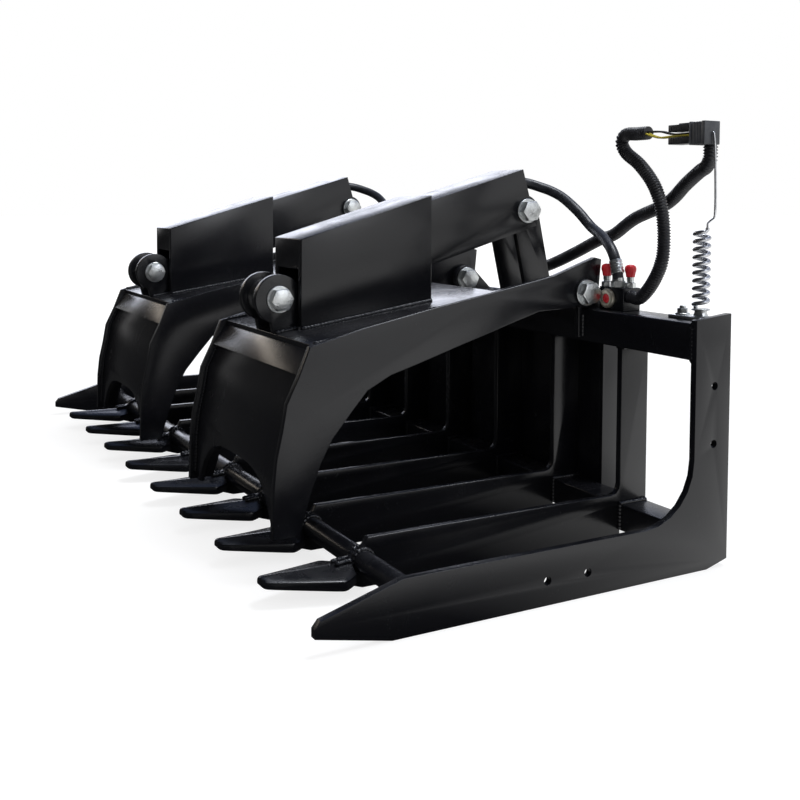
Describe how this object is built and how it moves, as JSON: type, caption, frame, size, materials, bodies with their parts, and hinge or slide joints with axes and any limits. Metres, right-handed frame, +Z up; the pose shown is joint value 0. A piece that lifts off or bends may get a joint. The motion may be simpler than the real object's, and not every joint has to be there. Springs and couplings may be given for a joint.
{
  "type": "grapple attachment",
  "caption": "Root grapple attachment for a skid steer loader: open rake of L-shaped tines with hydraulic clamps that swing up under hooded cylinders.",
  "frame": {"origin": "middle of the footprint on the ground, under the middle of the rake", "axes": "+X towards the right side seen from behind the rake, +Y from the tooth tips towards the quick attach plate, +Z up"},
  "size_m": [1.829, 0.84, 0.7715],
  "materials": {
    "black_paint": "gloss",
    "zinc_plate": "satin",
    "spring_wire": "satin",
    "rod_chrome": "polished",
    "hose_rubber": "satin",
    "guard_plastic": "satin",
    "cap_red": "gloss",
    "wire_yellow": "satin",
    "plug_plastic": "satin"
  },
  "bodies": {
    "frame": {"side_plate_right": "black_paint", "side_plate_left": "black_paint", "tine_2": "black_paint", "tine_3": "black_paint", "tine_4": "black_paint", "tine_5": "black_paint", "tine_6": "black_paint", "tine_7": "black_paint", "tine_8": "black_paint", "tine_9": "black_paint", "teeth": "black_paint", "tie_pipe": "black_paint", "bottom_tube": "black_paint", "top_tube": "black_paint", "attach_plate": "black_paint", "attach_flanges": "black_paint", "pivot_ears_right": "black_paint", "pivot_ears_left": "black_paint", "cylinder_lugs_right": "black_paint", "cylinder_lugs_left": "black_paint", "pivot_bolts": "zinc_plate", "base_bolts": "zinc_plate", "manifold_block": "black_paint", "hydraulic_fittings": "zinc_plate", "dust_caps": "cap_red", "cylinder_hose_right": "hose_rubber", "cylinder_hose_left": "hose_rubber", "guarded_hose": "guard_plastic", "wire_guard": "guard_plastic", "wires": "wire_yellow", "wire_connector": "plug_plastic", "holder_spring": "spring_wire", "holder_foot": "zinc_plate", "holder_rod": "spring_wire"},
    "right_clamp": {"clamp_plate_outer_right": "black_paint", "clamp_plate_inner_right": "black_paint", "clamp_front_right": "black_paint", "clamp_top_right": "black_paint", "rod_ears_right": "black_paint", "clamp_bushes_right": "black_paint", "clamp_bolts_right": "zinc_plate", "front_hood_right": "black_paint"},
    "right_barrel": {"barrel_right": "black_paint", "gland_right": "zinc_plate", "rear_hood_right": "black_paint"},
    "right_rod": {"rod_right": "rod_chrome"},
    "left_clamp": {"clamp_plate_outer_left": "black_paint", "clamp_plate_inner_left": "black_paint", "clamp_front_left": "black_paint", "clamp_top_left": "black_paint", "rod_ears_left": "black_paint", "clamp_bushes_left": "black_paint", "clamp_bolts_left": "zinc_plate", "front_hood_left": "black_paint"},
    "left_barrel": {"barrel_left": "black_paint", "gland_left": "zinc_plate", "rear_hood_left": "black_paint"},
    "left_rod": {"rod_left": "rod_chrome"}
  },
  "joints": [
    {"name": "right_clamp_hinge", "type": "hinge", "parent": "frame", "child": "right_clamp", "pos_m": [0.40362, 0.284, 0.456], "axis": [-1, 0, 0], "range_deg": [0, 45]},
    {"name": "right_barrel_hinge", "type": "hinge", "parent": "frame", "child": "right_barrel", "pos_m": [0.40362, 0.268, 0.612], "axis": [-1, 0, 0], "range_deg": [0, 48]},
    {"name": "right_rod_slide", "type": "slide", "parent": "right_barrel", "child": "right_rod", "axis": [0, -0.959, -0.2833], "range_m": [-0.12, 0]},
    {"name": "left_clamp_hinge", "type": "hinge", "parent": "frame", "child": "left_clamp", "pos_m": [-0.40362, 0.284, 0.456], "axis": [-1, 0, 0], "range_deg": [0, 45]},
    {"name": "left_barrel_hinge", "type": "hinge", "parent": "frame", "child": "left_barrel", "pos_m": [-0.40362, 0.268, 0.612], "axis": [-1, 0, 0], "range_deg": [0, 48]},
    {"name": "left_rod_slide", "type": "slide", "parent": "left_barrel", "child": "left_rod", "axis": [0, -0.959, -0.2833], "range_m": [-0.12, 0]}
  ],
  "couplings": [
    {"joint": "right_barrel_hinge", "follows": "right_clamp_hinge", "ratio": 1.045},
    {"joint": "right_rod_slide", "follows": "right_clamp_hinge", "m_per_rad": -0.15},
    {"joint": "left_barrel_hinge", "follows": "left_clamp_hinge", "ratio": 1.045},
    {"joint": "left_rod_slide", "follows": "left_clamp_hinge", "m_per_rad": -0.15}
  ]
}
